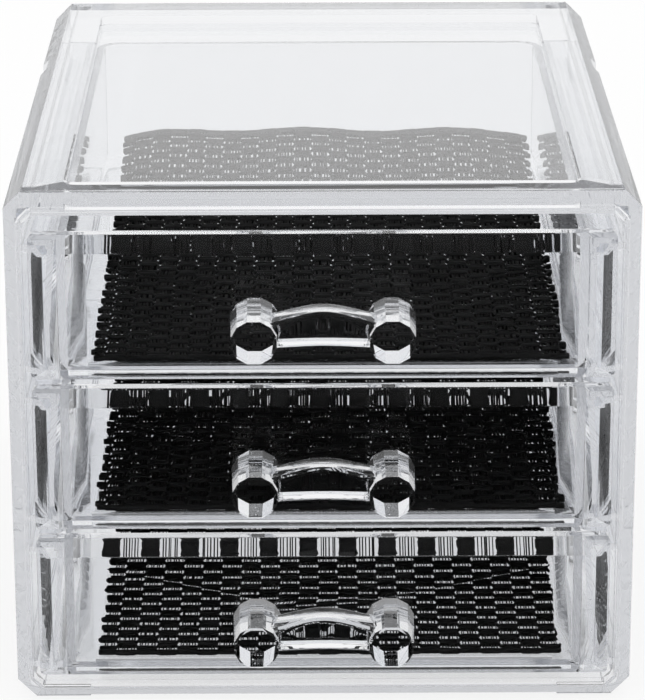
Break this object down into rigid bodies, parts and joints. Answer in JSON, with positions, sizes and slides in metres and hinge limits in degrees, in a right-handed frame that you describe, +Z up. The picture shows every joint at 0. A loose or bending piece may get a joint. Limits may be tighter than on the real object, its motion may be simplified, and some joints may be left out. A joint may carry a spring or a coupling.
{
  "type": "drawer organizer",
  "caption": "Small clear box with stacked drawers that slide out on side runners, each with a bevelled front, an arched handle and a dark non-slip net.",
  "frame": {"origin": "on the surface it stands on, in the middle of the footprint with the handles included", "axes": "+X to the right seen from the front, +Y from the drawer fronts to the back, +Z up"},
  "size_m": [0.13, 0.184, 0.112],
  "materials": {
    "case_clear": "clear, polished",
    "front_clear": "clear, polished, thick",
    "handle_clear": "clear, polished, thick",
    "tray_clear": "clear, thin walls",
    "mat_black": "matt, soft knotted net"
  },
  "bodies": {
    "case": {"front_frame": "case_clear", "left_side": "case_clear", "right_side": "case_clear", "top_panel": "case_clear", "bottom_panel": "case_clear", "back_panel": "case_clear", "top_left_runner": "case_clear", "middle_left_runner": "case_clear", "bottom_left_runner": "case_clear", "top_right_runner": "case_clear", "middle_right_runner": "case_clear", "bottom_right_runner": "case_clear"},
    "top_drawer": {"top_front": "front_clear", "top_handle": "handle_clear", "top_tray": "tray_clear", "top_mat": "mat_black"},
    "middle_drawer": {"middle_front": "front_clear", "middle_handle": "handle_clear", "middle_tray": "tray_clear", "middle_mat": "mat_black"},
    "bottom_drawer": {"bottom_front": "front_clear", "bottom_handle": "handle_clear", "bottom_tray": "tray_clear", "bottom_mat": "mat_black"}
  },
  "joints": [
    {"name": "top_slide", "type": "slide", "parent": "case", "child": "top_drawer", "axis": [0, -1, 0], "range_m": [0, 0.13]},
    {"name": "middle_slide", "type": "slide", "parent": "case", "child": "middle_drawer", "axis": [0, -1, 0], "range_m": [0, 0.13]},
    {"name": "bottom_slide", "type": "slide", "parent": "case", "child": "bottom_drawer", "axis": [0, -1, 0], "range_m": [0, 0.13]}
  ]
}
